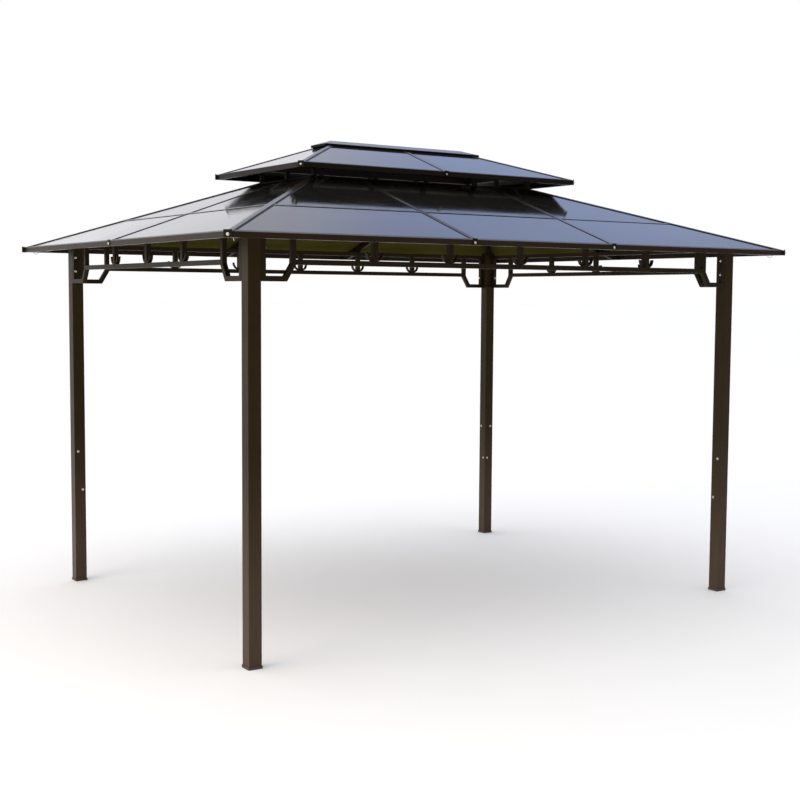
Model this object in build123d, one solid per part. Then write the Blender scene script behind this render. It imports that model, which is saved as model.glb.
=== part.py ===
from build123d import *
import math
import os

os.makedirs("parts", exist_ok=True)

# ---------------------------------------------------------------- dimensions
# Millimetres. X runs along the long side, Y along the short side, Z is up.
# The origin is on the ground in the middle of the four posts.
POST = 75.0                      # square post
POST_X, POST_Y = 1720.0, 1262.0  # post centres
POST_TOP = 2272.0
FOOT_W, FOOT_H, FOOT_SOLE = 81.0, 16.0, 3.0

TUBE = 28.0                      # square tube of the side frames
RAIL_Z = 2082.0                  # underside of the lower rails
BEAM_Z = 2225.0                  # underside of the top beams
BAY = 497.5                      # pitch of the uprights in the side frames
UPRIGHT = 30.0                   # width of an upright
BRACKET_Z = 1996.0               # underside of the corner brackets
BRACKET_FOOT_LONG = 150.0        # reach of a bracket's bottom bar, long side
BRACKET_FOOT_SHORT = 188.0       # the same on the short side

EAVE_X, EAVE_Y = 1980.0, 1525.0  # outer faces of the lower eave
EAVE_BOTTOM, EAVE_PLANE = 2201.5, 2228.0
RING_X, RING_Y, RING_PLANE = 830.0, 345.0, 2637.0
SEAM = 0.4302                    # place of the cross seam, share of the slope
RIB_X = 505.0                    # ribs of the long slopes
FASCIA_T = 28.0

PANEL = 6.0                      # twin-wall sheet
LIP = 2.5
RIB_W, RIB_RISE = 22.0, 3.5      # cover strip on a rib
HIP_W, HIP_RISE = 37.0, 5.5      # cover strip on a hip
RAFTER_W, RAFTER_D = 25.0, 46.0  # bar under a rib
HIP_BAR_W, HIP_BAR_D = 30.0, 48.0
PURLIN_D = 22.0

UP_X, UP_Y = 1032.0, 553.0       # outer faces of the upper eave
UP_BOTTOM, UP_PLANE = 2665.0, 2692.0
UP_FASCIA_T = 22.0
CAP_X, CAP_Y, CAP_EDGE = 598.0, 90.0, 2856.0
CAP_LIP, CAP_T = 15.0, 4.0       # upright edge and sheet of the ridge cap
CAP_RISE, CAP_END = 29.0, 90.0   # its ridge above the edge, and its sloped ends
RING_H, RING_T = 50.0, 25.0      # ring that carries the vent
VENT_PITCH = 380.0               # struts of the long sides


# ------------------------------------------------------------------- helpers
def vec(a, b, k=1.0):
    return tuple(a[i] + k * b[i] for i in range(3))


def dot(a, b):
    return sum(a[i] * b[i] for i in range(3))


def cross(a, b):
    return (a[1] * b[2] - a[2] * b[1], a[2] * b[0] - a[0] * b[2], a[0] * b[1] - a[1] * b[0])


def unit(a):
    n = math.sqrt(dot(a, a))
    return tuple(c / n for c in a)


def sub(a, b):
    return tuple(a[i] - b[i] for i in range(3))


def prism(points, direction):
    """A flat polygon pushed along a direction."""
    face = Face(Wire.make_polygon([Vector(*p) for p in points], close=True))
    return Solid.extrude(face, Vector(*direction))


def box(x0, x1, y0, y1, z0, z1):
    x0, x1 = min(x0, x1), max(x0, x1)
    y0, y1 = min(y0, y1), max(y0, y1)
    return prism([(x0, y0, z0), (x1, y0, z0), (x1, y1, z0), (x0, y1, z0)], (0, 0, z1 - z0))


def cut(shape, *tools):
    out = shape
    for tool in tools:
        out = out - tool
    return out


def solids(shape):
    items = shape if isinstance(shape, (list, tuple)) else [shape]
    out = []
    for item in items:
        out += list(item.solids())
    return [s for s in out if s.volume > 20.0]


def save(name, shape):
    found = solids(shape)
    export_step(found[0] if len(found) == 1 else Compound(children=found), f"parts/{name}.step")


def mirror_xy(shape, sx, sy):
    if sx < 0:
        shape = shape.mirror(Plane.YZ)
    if sy < 0:
        shape = shape.mirror(Plane.XZ)
    return shape


class Slope:
    """One roof slope: s runs along the eave, t up the slope, n out of it."""

    def __init__(self, side, half, eave_out, plane_z, top_out, top_z):
        self.side, self.half = side, half
        run, rise = eave_out - top_out, top_z - plane_z
        self.length = math.hypot(run, rise)
        c, s = run / self.length, rise / self.length
        self.c, self.s_ = c, s
        frames = {
            "front": ((1, 0, 0), (0, c, s), (0, -eave_out, plane_z)),
            "right": ((0, 1, 0), (-c, 0, s), (eave_out, 0, plane_z)),
            "back": ((-1, 0, 0), (0, -c, s), (0, eave_out, plane_z)),
            "left": ((0, -1, 0), (c, 0, s), (-eave_out, 0, plane_z)),
        }
        self.S, self.T, self.O = frames[side]
        self.N = cross(self.S, self.T)

    def at(self, s, t, n=0.0):
        return tuple(self.O[i] + s * self.S[i] + t * self.T[i] + n * self.N[i] for i in range(3))

    def plate(self, st, n_top, thick):
        return prism([self.at(s, t, n_top) for s, t in st], tuple(-thick * c for c in self.N))

    def below(self, n):
        """Everything under the plane at height n, as one large block."""
        big = 5000.0
        return self.plate([(-big, -big), (big, -big), (big, big), (-big, big)], n, 4000.0)

    def above(self, n):
        big = 5000.0
        return self.plate([(-big, -big), (big, -big), (big, big), (-big, big)], n + 4000.0, 4000.0)


def line_offset(p, q, d):
    """The line p to q in (s, t), moved sideways by d towards its left."""
    dx, dy = q[0] - p[0], q[1] - p[1]
    n = math.hypot(dx, dy)
    ox, oy = -dy / n * d, dx / n * d
    return (p[0] + ox, p[1] + oy), (q[0] + ox, q[1] + oy)


def s_on(line, t):
    (s0, t0), (s1, t1) = line
    return s0 + (s1 - s0) * (t - t0) / (t1 - t0)


# ------------------------------------------------------------- posts and feet
post = box(POST_X - POST / 2, POST_X + POST / 2, POST_Y - POST / 2, POST_Y + POST / 2, FOOT_SOLE, POST_TOP)
foot = box(POST_X - FOOT_W / 2, POST_X + FOOT_W / 2, POST_Y - FOOT_W / 2, POST_Y + FOOT_W / 2, 0, FOOT_H)
foot = cut(foot, box(POST_X - POST / 2, POST_X + POST / 2, POST_Y - POST / 2, POST_Y + POST / 2, FOOT_SOLE, FOOT_H + 5))
CORNERS = {"front_left": (-1, -1), "front_right": (1, -1), "back_left": (-1, 1), "back_right": (1, 1)}

# --------------------------------------------------------------- roof slopes
lower = {
    "front": Slope("front", EAVE_X, EAVE_Y, EAVE_PLANE, RING_Y, RING_PLANE),
    "back": Slope("back", EAVE_X, EAVE_Y, EAVE_PLANE, RING_Y, RING_PLANE),
    "left": Slope("left", EAVE_Y, EAVE_X, EAVE_PLANE, RING_X, RING_PLANE),
    "right": Slope("right", EAVE_Y, EAVE_X, EAVE_PLANE, RING_X, RING_PLANE),
}
UP_TAN = (CAP_EDGE - UP_PLANE) / (UP_Y - CAP_Y)
RIDGE_Z = UP_PLANE + UP_Y * UP_TAN
APEX_X = UP_X - UP_Y
upper = {
    "front": Slope("front", UP_X, UP_Y, UP_PLANE, 0.0, RIDGE_Z),
    "back": Slope("back", UP_X, UP_Y, UP_PLANE, 0.0, RIDGE_Z),
    "left": Slope("left", UP_Y, UP_X, UP_PLANE, APEX_X, RIDGE_Z),
    "right": Slope("right", UP_Y, UP_X, UP_PLANE, APEX_X, RIDGE_Z),
}


def bar(p, q, section):
    """A section in (w, u) pushed from p to q: w level, u square to the run."""
    d = unit(sub(q, p))
    w = unit((-d[1], d[0], 0.0))
    u = cross(d, w)
    if u[2] < 0:
        u = tuple(-c for c in u)
    pts = [tuple(p[i] + a * w[i] + b * u[i] for i in range(3)) for a, b in section]
    return prism(pts, sub(q, p))


def rect(w, lo, hi):
    return [(-w / 2, lo), (w / 2, lo), (w / 2, hi), (-w / 2, hi)]


# --------------------------------------------------------- fascia (eave trim)
def fascia(side, half, out, bottom, plane, slope, thick, slot):
    """Edge trim whose slot takes the lower edge of the sheets."""
    tan = slope.s_ / slope.c
    down = PANEL / slope.c
    lip = LIP / slope.c

    def z(d):
        return plane + d * tan

    section = [
        (0, bottom), (thick, bottom), (thick, z(thick) - down), (slot, z(slot) - down),
        (slot, z(slot)), (thick - 4, z(thick - 4)), (thick - 4, z(thick - 4) + lip), (0, z(0) + lip),
    ]
    big = 4 * half
    if side in ("front", "back"):
        k = -1 if side == "front" else 1
        body = prism([(-half - 60, k * (out - d), zz) for d, zz in section], (2 * half + 120, 0, 0))
        for e in (-1, 1):
            wedge = prism(
                [(e * half, k * out, 0), (e * (half - big), k * (out - big), 0), (e * (half + big), k * (out - big), 0), (e * (half + big), k * out, 0)],
                (0, 0, 4000),
            )
            body = body - wedge
        keep = box(-half, half, -out, out, 0, 4000)
    else:
        k = -1 if side == "left" else 1
        body = prism([(k * (out - d), -half - 60, zz) for d, zz in section], (0, 2 * half + 120, 0))
        for e in (-1, 1):
            wedge = prism(
                [(k * out, e * half, 0), (k * (out - big), e * (half - big), 0), (k * (out - big), e * (half + big), 0), (k * out, e * (half + big), 0)],
                (0, 0, 4000),
            )
            body = body - wedge
        keep = box(-out, out, -half, half, 0, 4000)
    return body & keep


lower_fascia = {
    side: fascia(side, lower[side].half, EAVE_Y if side in ("front", "back") else EAVE_X, EAVE_BOTTOM, EAVE_PLANE, lower[side], FASCIA_T, 5.0)
    for side in lower
}
upper_fascia = {
    side: fascia(side, upper[side].half, UP_Y if side in ("front", "back") else UP_X, UP_BOTTOM, UP_PLANE, upper[side], UP_FASCIA_T, 4.0)
    for side in upper
}


# ------------------------------------------------------------- hips and ribs
def hip_member(sx, sy, eave, ring, slopes, width, rise, bar_w, bar_d):
    """Hip: a bar under the sheets, a web between them and a cover on top."""
    p = (sx * eave[0], sy * eave[1], eave[2])
    q = (sx * ring[0], sy * ring[1], ring[2])
    d = unit(sub(q, p))
    a, b = slopes
    p0, q0 = vec(p, d, -60.0), vec(q, d, 60.0)
    under = bar(p0, q0, rect(bar_w, -bar_d - 14, 6)) - a.above(-PANEL) - b.above(-PANEL)
    web = bar(p0, q0, rect(6.0, -14.0, rise - 2.0))
    cover = bar(p0, q0, [(-width / 2, -30), (width / 2, -30), (width / 2, rise - 5.5), (width / 2 - 1.5, rise - 4.0), (0, rise), (-width / 2 + 1.5, rise - 4.0), (-width / 2, rise - 5.5)])
    cover = cover - (a.below(0.0) & b.below(0.0))
    return under + web + cover


lower_hips, upper_hips = {}, {}
for name, (sx, sy) in CORNERS.items():
    a = lower["front" if sy < 0 else "back"]
    b = lower["left" if sx < 0 else "right"]
    lower_hips[name] = hip_member(sx, sy, (EAVE_X, EAVE_Y, EAVE_PLANE), (RING_X, RING_Y, RING_PLANE), (a, b), HIP_W, HIP_RISE, HIP_BAR_W, HIP_BAR_D)
    a = upper["front" if sy < 0 else "back"]
    b = upper["left" if sx < 0 else "right"]
    upper_hips[name] = hip_member(sx, sy, (UP_X, UP_Y, UP_PLANE), (APEX_X, 0.0, RIDGE_Z), (a, b), 31.0, 4.5, 24.0, 24.0)


def rib(slope, s, t0, t1, width, rise, bar_w, bar_d):
    """Rib: a bar under the sheets, a web between them and a cover on top."""
    p, q = slope.at(s, t0), slope.at(s, t1)

    def block(w, lo, hi):
        pts = [slope.at(s - w / 2, t0, lo), slope.at(s + w / 2, t0, lo), slope.at(s + w / 2, t0, hi), slope.at(s - w / 2, t0, hi)]
        return prism(pts, sub(q, p))

    return block(bar_w, -PANEL - bar_d, -PANEL) + block(5.0, -PANEL - 2, 1) + block(width, 0.0, rise)


# Lower ribs: two on each long slope, one on each short slope.
lower_ribs = {}
for side in ("front", "back"):
    sl = lower[side]
    lower_ribs[side] = [rib(sl, k * RIB_X, 0.0, sl.length + 20, RIB_W, RIB_RISE, RAFTER_W, RAFTER_D) for k in (-1, 1)]
for side in ("left", "right"):
    sl = lower[side]
    lower_ribs[side] = [rib(sl, 0.0, 0.0, sl.length + 20, RIB_W, RIB_RISE, RAFTER_W, RAFTER_D)]

upper_ribs = {}
for side in ("front", "back"):
    sl = upper[side]
    t_cap = (UP_Y - CAP_Y + 30.0) / sl.c
    upper_ribs[side] = [rib(sl, 0.0, 0.0, t_cap, 22.0, 3.0, 22.0, 18.0)]

# ------------------------------------------------------------ ring and struts
ring = {}
rz0, rz1 = RING_PLANE - RING_H - 4.0, RING_PLANE + 4.0
for side, k in (("front", -1), ("back", 1)):
    body = box(-RING_X, RING_X, k * RING_Y, k * (RING_Y - RING_T), rz0, rz1)
    ring[side] = body
for side, k in (("left", -1), ("right", 1)):
    body = box(k * RING_X, k * (RING_X - RING_T), -RING_Y + RING_T, RING_Y - RING_T, rz0, rz1)
    ring[side] = body

# Vent frame: bars on the struts that carry the sheets of the vent roof.
up_frame = {}
fz0, fz1 = UP_BOTTOM + 50.0, UP_BOTTOM + 130.0
for side, k in (("front", -1), ("back", 1)):
    up_frame[side] = box(-RING_X, RING_X, k * RING_Y, k * (RING_Y - RING_T), fz0, fz1)
for side, k in (("left", -1), ("right", 1)):
    up_frame[side] = box(k * RING_X, k * (RING_X - RING_T), -RING_Y + RING_T, RING_Y - RING_T, fz0, fz1)

for side in up_frame:
    for other in upper.values():
        up_frame[side] = up_frame[side] - other.above(-PANEL)

STRUTS = [(sx * (RING_X - 12.5), sy * (RING_Y - 12.5)) for sx in (-1, 1) for sy in (-1, 1)]
STRUTS += [(x, sy * (RING_Y - 12.5)) for x in (-VENT_PITCH, 0.0, VENT_PITCH) for sy in (-1, 1)]
STRUTS += [(sx * (RING_X - 12.5), 0.0) for sx in (-1, 1)]
struts = [box(x - 12.5, x + 12.5, y - 12.5, y + 12.5, rz1, fz0) for x, y in STRUTS]


# -------------------------------------------------------------------- sheets
def sheets(slope, columns, hip_gap, rib_gap, t0, t1, rows, eave_half, top_half, top_t):
    """Sheets of one slope between its hips, ribs and cross seam."""
    left = line_offset((-eave_half, 0.0), (-top_half, top_t), -hip_gap)
    right = line_offset((eave_half, 0.0), (top_half, top_t), hip_gap)
    out = []
    edges = [None] + list(columns) + [None]
    for i in range(len(edges) - 1):
        for r0, r1 in rows:
            lo = [s_on(left, r0) if edges[i] is None else edges[i] + rib_gap, s_on(left, r1) if edges[i] is None else edges[i] + rib_gap]
            hi = [s_on(right, r0) if edges[i + 1] is None else edges[i + 1] - rib_gap, s_on(right, r1) if edges[i + 1] is None else edges[i + 1] - rib_gap]
            pts = [(lo[0], r0), (hi[0], r0)]
            if hi[1] - lo[1] > 1.0:
                pts += [(hi[1], r1), (lo[1], r1)]
            else:
                pts += [((hi[1] + lo[1]) / 2, r1)]
            out.append(slope.plate(pts, 0.0, PANEL))
    return out


lower_sheets, purlins = {}, {}
for side in ("front", "back", "left", "right"):
    sl = lower[side]
    eh = EAVE_X if side in ("front", "back") else EAVE_Y
    th = RING_X if side in ("front", "back") else RING_Y
    cols = (-RIB_X, RIB_X) if side in ("front", "back") else (0.0,)
    ts = SEAM * sl.length
    t_end = sl.length - PANEL * sl.s_ / sl.c
    lower_sheets[side] = sheets(sl, cols, 5.2, 2.5, 6.0 / sl.c, t_end, [(6.0 / sl.c, ts - 2.5), (ts + 2.5, t_end)], eh, th, sl.length)
    # Cross seam: an H section whose bar lies under the sheets.
    edges = [None] + list(cols) + [None]
    purlins[side] = []
    for i in range(len(edges) - 1):
        def span(half_w, clear_rib, clear_hip, t):
            lf = line_offset((-eh, 0.0), (-th, sl.length), -clear_hip)
            rt = line_offset((eh, 0.0), (th, sl.length), clear_hip)
            a = s_on(lf, t) if edges[i] is None else edges[i] + clear_rib
            b = s_on(rt, t) if edges[i + 1] is None else edges[i + 1] - clear_rib
            return a, b

        def slab_(t_lo, t_hi, n_hi, thick, clear_rib, clear_hip):
            a0, b0 = span(0, clear_rib, clear_hip, t_lo)
            a1, b1 = span(0, clear_rib, clear_hip, t_hi)
            return sl.plate([(a0, t_lo), (b0, t_lo), (b1, t_hi), (a1, t_hi)], n_hi, thick)

        under = slab_(ts - 12.5, ts + 12.5, -PANEL, PURLIN_D, RAFTER_W / 2, HIP_BAR_W / 2 + 1.0)
        web = slab_(ts - 2.5, ts + 2.5, 0.5, PANEL + 2.0, RAFTER_W / 2, HIP_BAR_W / 2 + 1.0)
        top = slab_(ts - 10.0, ts + 10.0, 2.5, 2.5, RIB_W / 2, HIP_W / 2 + 1.0)
        purlins[side].append(under + web + top)

upper_sheets = {}
for side in ("front", "back"):
    sl = upper[side]
    t1 = (UP_Y - 40.0) / sl.c
    upper_sheets[side] = sheets(sl, (0.0,), 5.2, 2.5, 5.0 / sl.c, t1, [(5.0 / sl.c, t1)], UP_X, APEX_X, sl.length)
for side in ("left", "right"):
    sl = upper[side]
    t1 = (UP_X - CAP_X + 50.0) / sl.c
    upper_sheets[side] = sheets(sl, (), 5.2, 2.5, 5.0 / sl.c, t1, [(5.0 / sl.c, t1)], UP_Y, 0.001, sl.length)

# ---------------------------------------------------------------- ridge cap
lip_z = CAP_EDGE + CAP_LIP


def cap_body(t, low):
    """The hipped outline of the cap, drawn in by the sheet's thickness t."""
    x, y, top = CAP_X - t, CAP_Y - t, lip_z + CAP_RISE - 1.05 * t
    edge = lip_z - 0.85 * t
    across = prism([(-x - 1, -y, low), (-x - 1, -y, edge), (-x - 1, 0, top), (-x - 1, y, edge), (-x - 1, y, low)], (2 * x + 2, 0, 0))
    along = prism([(-x, -y - 1, low), (-x, -y - 1, edge), (-x + CAP_END, -y - 1, top + 0.2), (x - CAP_END, -y - 1, top + 0.2), (x, -y - 1, edge), (x, -y - 1, low)], (0, 2 * y + 2, 0))
    return across & along


ridge_cap = cap_body(0.0, CAP_EDGE) - cap_body(CAP_T, CAP_EDGE - 5.0)
ridge_cap = ridge_cap - (upper["front"].below(0.0) & upper["back"].below(0.0) & upper["left"].below(0.0) & upper["right"].below(0.0))

# ------------------------------------------------------------- joins and cuts
ridge_beam = box(-APEX_X + 14, APEX_X - 14, -12.5, 12.5, RIDGE_Z - 62.0, RIDGE_Z - 8.0)
ridge_beam = ridge_beam - upper["front"].above(-PANEL) - upper["back"].above(-PANEL)

for name, (sx, sy) in CORNERS.items():
    hip = lower_hips[name]
    # The hip stops at the fascia's outer corner and at the ring.
    p = (sx * EAVE_X, sy * EAVE_Y, EAVE_PLANE)
    plan = unit((-sx * (EAVE_X - RING_X), -sy * (EAVE_Y - RING_Y), 0))
    w = (-plan[1], plan[0], 0)
    outer = prism([vec(vec((p[0], p[1], 1500.0), plan, 0.0), w, k * 200.0) for k in (-1, 1)] + [vec(vec((p[0], p[1], 1500.0), plan, -400.0), w, k * 200.0) for k in (1, -1)], (0, 0, 1500.0))
    ring_zone = box(sx * RING_X, 0, sy * RING_Y, 0, 2000, 3200)
    hip = hip - outer - ring_zone - box(-3000, 3000, -3000, 3000, 2000, EAVE_BOTTOM + 0.5)
    hip = hip - lower_fascia["front" if sy < 0 else "back"] - lower_fascia["left" if sx < 0 else "right"]
    lower_hips[name] = max(hip.solids(), key=lambda s: s.volume)
    # Upper hip
    hip = upper_hips[name]
    p = (sx * UP_X, sy * UP_Y, UP_PLANE)
    plan = unit((-sx * 1.0, -sy * 1.0, 0))
    w = (-plan[1], plan[0], 0)
    outer = prism([vec((p[0], p[1], 1500.0), w, k * 200.0) for k in (-1, 1)] + [vec(vec((p[0], p[1], 1500.0), plan, -400.0), w, k * 200.0) for k in (1, -1)], (0, 0, 1500.0))
    side_cut = box(-3000, 3000, 0.6 * sy, -200 * sy, 2000, 3200) + box(sx * (APEX_X - 0.6), -sx * 50, -700, 700, 2000, 3200)
    hip = hip - outer - side_cut - box(-3000, 3000, -3000, 3000, 2000, UP_BOTTOM + 0.5)
    hip = hip - upper_fascia["front" if sy < 0 else "back"] - upper_fascia["left" if sx < 0 else "right"]
    hip = hip - ridge_beam - ridge_cap
    for side in up_frame:
        hip = hip - up_frame[side]
    upper_hips[name] = max(hip.solids(), key=lambda s: s.volume)

# Ribs stop at the fascia's outer face and at the ring.
for side in lower_ribs:
    done = []
    for r in lower_ribs[side]:
        r = r & box(-EAVE_X, EAVE_X, -EAVE_Y, EAVE_Y, EAVE_BOTTOM + 0.5, 3000)
        r = r - box(-RING_X, RING_X, -RING_Y, RING_Y, 2000, 3200) - lower_fascia[side]
        done.append(max(r.solids(), key=lambda s: s.volume))
    lower_ribs[side] = done
for side in upper_ribs:
    done = []
    for r in upper_ribs[side]:
        r = r & box(-UP_X, UP_X, -UP_Y, UP_Y, UP_BOTTOM + 0.5, 3200)
        r = r - upper_fascia[side] - ridge_cap - up_frame[side]
        done.append(max(r.solids(), key=lambda s: s.volume))
    upper_ribs[side] = done

# -------------------------------------------------------------- side frames
IN_X, IN_Y = POST_X - POST / 2, POST_Y - POST / 2      # faces between the posts
OUT_X, OUT_Y = POST_X + POST / 2, POST_Y + POST / 2    # outer faces


def side_box(side, s0, s1, z0, z1, depth=TUBE, inset=0.0):
    """A box in the plane of one side frame, flush with the posts' outer faces."""
    if side in ("front", "back"):
        k = -1 if side == "front" else 1
        return box(s0, s1, k * (OUT_Y - inset), k * (OUT_Y - inset - depth), z0, z1)
    k = -1 if side == "left" else 1
    return box(k * (OUT_X - inset), k * (OUT_X - inset - depth), s0, s1, z0, z1)


def side_prism(side, pts, depth=TUBE, inset=0.0):
    if side in ("front", "back"):
        k = -1 if side == "front" else 1
        return prism([(s, k * (OUT_Y - inset), z) for s, z in pts], (0, -k * depth, 0))
    k = -1 if side == "left" else 1
    return prism([(k * (OUT_X - inset), s, z) for s, z in pts], (-k * depth, 0, 0))


top_beams, lower_rails, uprights, brackets = {}, {}, {}, {}
for side in ("front", "back", "left", "right"):
    face = IN_X if side in ("front", "back") else IN_Y
    n = 3 if side in ("front", "back") else 2
    foot_reach = BRACKET_FOOT_LONG if side in ("front", "back") else BRACKET_FOOT_SHORT
    inner = n * BAY - 12.5                            # inner face of a bracket
    top_beams[side] = side_box(side, -face, face, BEAM_Z, BEAM_Z + TUBE)
    lower_rails[side] = side_box(side, -inner, inner, RAIL_Z, RAIL_Z + TUBE)
    ups = []
    for i in range(-(n - 1), n):
        c = i * BAY
        up = side_box(side, c - UPRIGHT / 2, c + UPRIGHT / 2, RAIL_Z + TUBE, BEAM_Z)
        for k in (-1, 1):
            outline = [(8, 0), (26, 1), (39, 9), (48, 23), (53, 41), (52, 47), (46, 47), (42, 31), (35, 19), (25, 11), (8, 10)]
            arm = [(c + k * a, RAIL_Z + TUBE + b) for a, b in outline]
            up = up + side_prism(side, arm, 24.0, 2.0)
        ups.append(up)
    uprights[side] = ups
    # Corner brackets: a four-sided loop of tube bolted to the post.
    for k in (-1, 1):
        reach = face - inner                          # post face to inner face
        kink = RAIL_Z

        def pt(d, z):
            return (k * (face - d), z)

        slope_in = reach - foot_reach
        t = TUBE
        leg = math.hypot(slope_in, kink - BRACKET_Z)
        outer_loop = [pt(0, BRACKET_Z), pt(foot_reach, BRACKET_Z), pt(reach, kink), pt(reach, BEAM_Z), pt(0, BEAM_Z)]
        # inner outline, one tube in from the outer one
        nx, nz = (kink - BRACKET_Z) / leg, -slope_in / leg
        a = (foot_reach - t * nx, BRACKET_Z - t * nz)
        s_dir = (slope_in / leg, (kink - BRACKET_Z) / leg)
        at_bottom = a[0] + s_dir[0] * ((BRACKET_Z + t - a[1]) / s_dir[1])
        at_top = a[1] + s_dir[1] * ((reach - t - a[0]) / s_dir[0])
        hole = [pt(t, BRACKET_Z + t), pt(at_bottom, BRACKET_Z + t), pt(reach - t, at_top), pt(reach - t, BEAM_Z + 5), pt(t, BEAM_Z + 5)]
        loop = side_prism(side, outer_loop) - side_prism(side, hole, TUBE + 10, -5)
        if side in ("front", "back"):
            where = side + ("_left" if k < 0 else "_right")
        else:
            where = ("front_" if k < 0 else "back_") + side
        brackets.setdefault(where, []).append(loop)

# Ribs sit on the top beams; posts and beams are notched round the hips.
for side in lower_ribs:
    lower_ribs[side] = [max((r - top_beams[side]).solids(), key=lambda s: s.volume) for r in lower_ribs[side]]

posts = {}
for name, (sx, sy) in CORNERS.items():
    p = mirror_xy(post, sx, sy)
    p = p - lower_hips[name]
    posts[name] = max(p.solids(), key=lambda s: s.volume)
feet = [mirror_xy(foot, sx, sy) for sx, sy in CORNERS.values()]

# ---------------------------------------------------------- end caps at eaves
end_caps = []
for name, (sx, sy) in CORNERS.items():
    plan = unit((-sx * (EAVE_X - RING_X), -sy * (EAVE_Y - RING_Y), 0))
    w = (-plan[1], plan[0], 0)
    base = (sx * EAVE_X, sy * EAVE_Y, EAVE_BOTTOM - 1.0)
    pts = [vec(vec(base, plan, 0.0), w, -22.0), vec(vec(base, plan, 0.0), w, 22.0), vec(vec(base, plan, -3.5), w, 22.0), vec(vec(base, plan, -3.5), w, -22.0)]
    end_caps.append(prism(pts, (0, 0, EAVE_PLANE + 11.0 - EAVE_BOTTOM + 1.0)))
for side in ("front", "back", "left", "right"):
    sl = lower[side]
    out = EAVE_Y if side in ("front", "back") else EAVE_X
    for s in ((-RIB_X, RIB_X) if side in ("front", "back") else (0.0,)):
        base = sl.at(s, 0, 0)
        z0, z1 = EAVE_BOTTOM + 1.0, EAVE_PLANE + 10.5
        dirs = {"front": (0, -1, 0), "back": (0, 1, 0), "left": (-1, 0, 0), "right": (1, 0, 0)}[side]
        a = (base[0] - 16.0 * sl.S[0], base[1] - 16.0 * sl.S[1], z0)
        b = (base[0] + 16.0 * sl.S[0], base[1] + 16.0 * sl.S[1], z0)
        c = (b[0], b[1], z1)
        d = (a[0], a[1], z1)
        end_caps.append(prism([a, b, c, d], tuple(3.0 * q for q in dirs)))

for name, (sx, sy) in CORNERS.items():
    plan = unit((-sx * 1.0, -sy * 1.0, 0))
    w = (-plan[1], plan[0], 0)
    base = (sx * UP_X, sy * UP_Y, UP_BOTTOM)
    pts = [vec(base, w, -18.0), vec(base, w, 18.0), vec(vec(base, plan, -3.0), w, 18.0), vec(vec(base, plan, -3.0), w, -18.0)]
    end_caps.append(prism(pts, (0, 0, UP_PLANE + 9.0 - UP_BOTTOM)))
for sy in (-1, 1):
    end_caps.append(box(-16, 16, sy * UP_Y, sy * (UP_Y + 3.0), UP_BOTTOM + 1.0, UP_PLANE + 8.5))

# Sheets that meet ribs, hips and ring without overlap.
for side in purlins:
    trimmed = []
    for piece in purlins[side]:
        for r in lower_ribs[side]:
            piece = piece - r
        for h in lower_hips.values():
            piece = piece - h
        trimmed.append(max(piece.solids(), key=lambda s: s.volume))
    purlins[side] = trimmed
for side in upper_sheets:
    trimmed = []
    for piece in upper_sheets[side]:
        piece = piece - ridge_cap
        trimmed.append(max(piece.solids(), key=lambda s: s.volume))
    upper_sheets[side] = trimmed

# ------------------------------------------------------------------- export
for name in CORNERS:
    save(f"post_{name}", posts[name])
    save(f"corner_brackets_{name}", brackets[name])
save("post_feet", feet)
for side in ("front", "back", "left", "right"):
    save(f"top_beam_{side}", top_beams[side])
    save(f"lower_rail_{side}", lower_rails[side])
    save(f"eave_fascia_{side}", lower_fascia[side])
    save(f"roof_sheets_{side}", lower_sheets[side])
save("uprights_long_sides", uprights["front"] + uprights["back"])
save("uprights_short_sides", uprights["left"] + uprights["right"])
save("vent_roof_sheets_long", upper_sheets["front"] + upper_sheets["back"])
save("vent_roof_sheets_short", upper_sheets["left"] + upper_sheets["right"])
save("eave_end_caps", end_caps)
save("hip_rafters", list(lower_hips.values()))
save("roof_ribs", [r for side in lower_ribs for r in lower_ribs[side]])
save("cross_seams", [p for side in purlins for p in purlins[side]])
save("vent_ring_long", [ring["front"], ring["back"]])
save("vent_ring_short", [ring["left"], ring["right"]])
save("vent_struts", struts)
save("vent_frame_long", [up_frame["front"], up_frame["back"]])
save("vent_frame_short", [up_frame["left"], up_frame["right"]])
save("vent_fascia_long", [upper_fascia["front"], upper_fascia["back"]])
save("vent_fascia_short", [upper_fascia["left"], upper_fascia["right"]])
save("vent_hips", list(upper_hips.values()))
save("vent_ribs", [r for side in upper_ribs for r in upper_ribs[side]])
save("ridge_beam", ridge_beam)
save("ridge_cap", ridge_cap)
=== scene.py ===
import bpy
import bmesh
import math
import random
from mathutils import Matrix, Vector


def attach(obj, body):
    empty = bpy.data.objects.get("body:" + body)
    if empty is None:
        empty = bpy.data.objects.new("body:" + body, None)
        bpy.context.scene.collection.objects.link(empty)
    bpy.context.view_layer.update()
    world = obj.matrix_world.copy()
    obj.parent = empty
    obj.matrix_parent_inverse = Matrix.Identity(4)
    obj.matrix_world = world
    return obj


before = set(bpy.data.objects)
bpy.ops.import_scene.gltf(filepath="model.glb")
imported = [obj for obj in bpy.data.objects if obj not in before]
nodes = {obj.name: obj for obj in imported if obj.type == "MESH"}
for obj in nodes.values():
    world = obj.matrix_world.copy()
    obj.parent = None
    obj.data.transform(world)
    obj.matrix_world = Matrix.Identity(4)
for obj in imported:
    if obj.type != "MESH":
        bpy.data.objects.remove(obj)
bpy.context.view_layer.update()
scene = bpy.context.scene
random.seed(11)

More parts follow.
